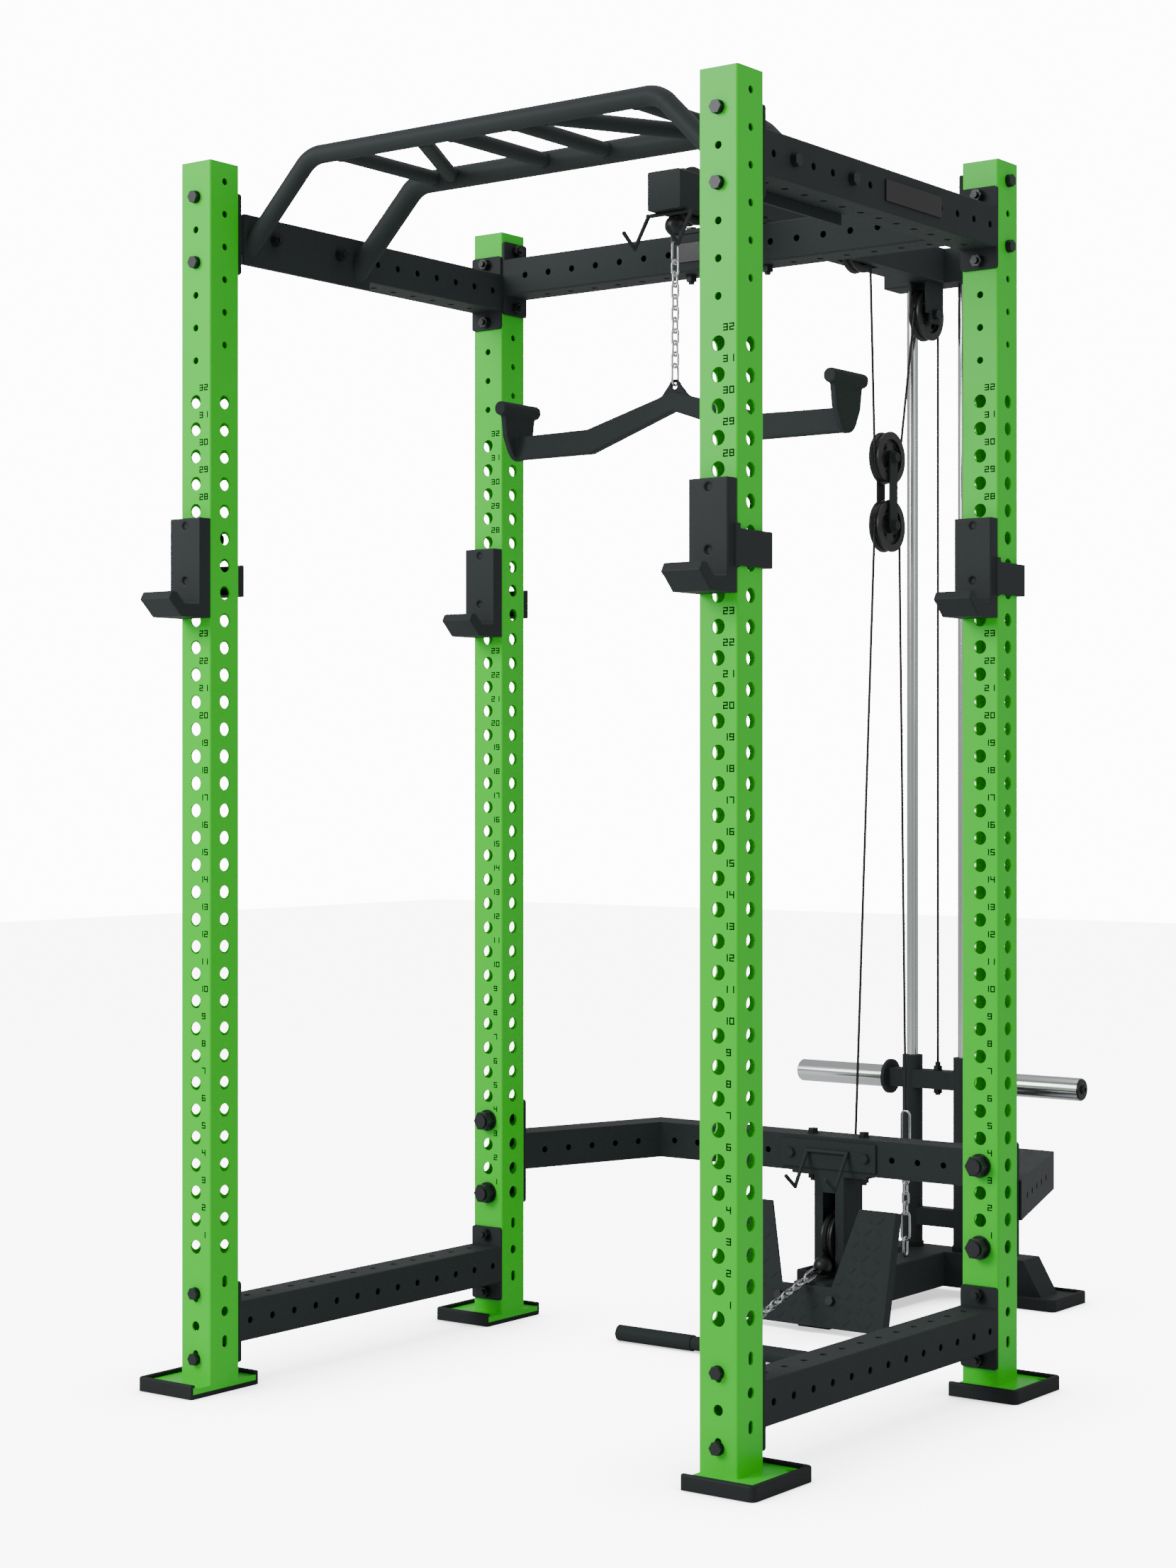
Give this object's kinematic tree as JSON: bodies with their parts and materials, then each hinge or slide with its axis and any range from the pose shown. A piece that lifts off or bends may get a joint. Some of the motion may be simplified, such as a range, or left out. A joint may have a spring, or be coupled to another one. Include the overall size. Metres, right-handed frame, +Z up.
{
  "type": "power cage with lat tower",
  "caption": "Four-post power cage with drilled uprights, multi-grip pull-up bar, bar rests and a plate-loaded lat and low-row cable tower.",
  "frame": {"origin": "on the floor, centred left to right and between the foremost bar rest and the rearmost foot", "axes": "+X to the right of a person facing the cage from the front, +Y to the rear where the tower stands, +Z up"},
  "size_m": [1.357, 1.8975, 2.304],
  "materials": {
    "green_paint": "satin powder coat, fine orange peel",
    "black_paint": "fine textured matt powder coat",
    "rubber": "matt moulded rubber",
    "chrome": "polished chrome and bright zinc",
    "cable_coat": "smooth black sheath",
    "black_plastic": "moulded nylon",
    "grip_coat": "textured grip coat",
    "black_bolts": "black oxide, slightly glossy",
    "cup_coat": "powder-coated steel under a moulded liner"
  },
  "bodies": {
    "root": {"upright_front_right": "green_paint", "upright_front_left": "green_paint", "upright_rear_right": "green_paint", "upright_rear_left": "green_paint", "upright_rubber_feet": "rubber", "side_beam_top_right": "black_paint", "side_beam_top_left": "black_paint", "side_beam_low_right": "black_paint", "side_beam_low_left": "black_paint", "rear_top_beam": "black_paint", "rear_stabiliser": "black_paint", "frame_bolts": "black_bolts", "frame_nuts": "black_bolts", "stabiliser_bolts": "black_bolts", "pull_up_bar": "black_paint", "pull_up_bolts": "black_bolts", "blank_badge_plates": "black_plastic", "lat_arm": "black_paint", "lat_arm_bolts": "black_bolts", "tower_pulley_bracket": "black_paint", "bar_hook_upper": "black_paint", "pulley_axles": "black_bolts", "cable_over_arm": "cable_coat", "cable_lat_drop": "cable_coat", "cable_block_run": "cable_coat", "cable_over_tower": "cable_coat", "cable_to_carriage": "cable_coat", "cable_low_loop": "cable_coat", "cable_under_pulley": "cable_coat", "cable_row_run": "cable_coat", "anchor_chain": "chrome", "guide_rods": "chrome", "rod_bumpers": "rubber", "base_frame": "black_paint", "base_rubber_feet": "rubber", "low_column": "black_paint", "footplate": "black_paint", "column_bolts": "black_bolts", "bar_hook_lower": "black_paint"},
    "lat_handle": {"lat_bar": "grip_coat", "lat_chain": "chrome", "lat_ball": "black_plastic"},
    "carriage": {"weight_carriage": "black_paint", "weight_horns": "chrome", "carriage_eye_bolt": "black_bolts"},
    "arm_front_wheel": {"pulley_arm_front": "black_plastic"},
    "arm_rear_wheel": {"pulley_arm_rear": "black_plastic"},
    "tower_wheel": {"pulley_tower": "black_plastic"},
    "block": {"floating_block": "black_paint"},
    "block_upper_wheel": {"pulley_block_upper": "black_plastic"},
    "block_lower_wheel": {"pulley_block_lower": "black_plastic"},
    "low_wheel": {"pulley_low": "black_plastic"},
    "row_handle": {"row_bar": "black_paint", "row_grips": "grip_coat", "row_chain": "chrome", "row_ball": "black_plastic"},
    "cup_front_right_body": {"cup_front_right": "cup_coat"},
    "cup_front_left_body": {"cup_front_left": "cup_coat"},
    "cup_rear_right_body": {"cup_rear_right": "cup_coat"},
    "cup_rear_left_body": {"cup_rear_left": "cup_coat"}
  },
  "joints": [
    {"name": "lat_pull", "type": "slide", "parent": "root", "child": "lat_handle", "axis": [0, 0, -1], "range_m": [0, 1.2], "deforming": ["cable_lat_drop"]},
    {"name": "carriage_lift", "type": "slide", "parent": "root", "child": "carriage", "axis": [0, 0, 1], "range_m": [0, 1.2], "deforming": ["cable_to_carriage"]},
    {"name": "arm_front_spin", "type": "hinge", "parent": "root", "child": "arm_front_wheel", "pos_m": [0, -0.0855, 2.248], "axis": [-1, 0, 0], "range_deg": [0, 1349.1]},
    {"name": "arm_rear_spin", "type": "hinge", "parent": "root", "child": "arm_rear_wheel", "pos_m": [0, 0.5325, 2.246], "axis": [-1, 0, 0], "range_deg": [0, 1349.1]},
    {"name": "tower_spin", "type": "hinge", "parent": "root", "child": "tower_wheel", "pos_m": [0, 0.8205, 2.139], "axis": [-1, 0, 0], "range_deg": [0, 1349.1]},
    {"name": "block_drop", "type": "slide", "parent": "root", "child": "block", "axis": [0, 0, -1], "range_m": [0, 0.45], "deforming": ["cable_block_run", "cable_low_loop"]},
    {"name": "block_upper_spin", "type": "hinge", "parent": "block", "child": "block_upper_wheel", "pos_m": [0, 0.6535, 1.812], "axis": [1, 0, 0], "range_deg": [0, 1349.1]},
    {"name": "row_pull", "type": "slide", "parent": "root", "child": "row_handle", "axis": [0, -1, 0], "range_m": [0, 0.9], "stiffness_N_per_m": 20, "springref_m": -0.8, "deforming": ["cable_row_run"]},
    {"name": "low_spin", "type": "hinge", "parent": "root", "child": "low_wheel", "pos_m": [0, 0.4615, 0.173], "axis": [1, 0, 0], "range_deg": [0, 1012.1]},
    {"name": "block_lower_spin", "type": "hinge", "parent": "block", "child": "block_lower_wheel", "pos_m": [0, 0.6535, 1.667], "axis": [1, 0, 0], "range_deg": [0, 506.6]},
    {"name": "cup_front_right_swing", "type": "hinge", "parent": "root", "child": "cup_front_right_body", "pos_m": [0.5775, -0.8435, 1.568], "axis": [0, -1, 0], "range_deg": [0, 90]},
    {"name": "cup_front_left_swing", "type": "hinge", "parent": "root", "child": "cup_front_left_body", "pos_m": [-0.5775, -0.8435, 1.568], "axis": [0, 1, 0], "range_deg": [0, 90]},
    {"name": "cup_rear_right_swing", "type": "hinge", "parent": "root", "child": "cup_rear_right_body", "pos_m": [0.5775, 0.0115, 1.568], "axis": [0, -1, 0], "range_deg": [0, 90]},
    {"name": "cup_rear_left_swing", "type": "hinge", "parent": "root", "child": "cup_rear_left_body", "pos_m": [-0.5775, 0.0115, 1.568], "axis": [0, 1, 0], "range_deg": [0, 90]}
  ],
  "couplings": [
    {"joint": "arm_front_spin", "follows": "lat_pull", "rad_per_m": 19.608},
    {"joint": "arm_rear_spin", "follows": "lat_pull", "rad_per_m": 19.608},
    {"joint": "tower_spin", "follows": "lat_pull", "rad_per_m": 19.608},
    {"joint": "block_upper_spin", "follows": "lat_pull", "rad_per_m": 19.608},
    {"joint": "carriage_lift", "follows": "lat_pull", "ratio": 1},
    {"joint": "block_drop", "follows": "row_pull", "ratio": 0.5},
    {"joint": "low_spin", "follows": "row_pull", "rad_per_m": 19.608},
    {"joint": "block_lower_spin", "follows": "row_pull", "rad_per_m": 9.8039}
  ]
}
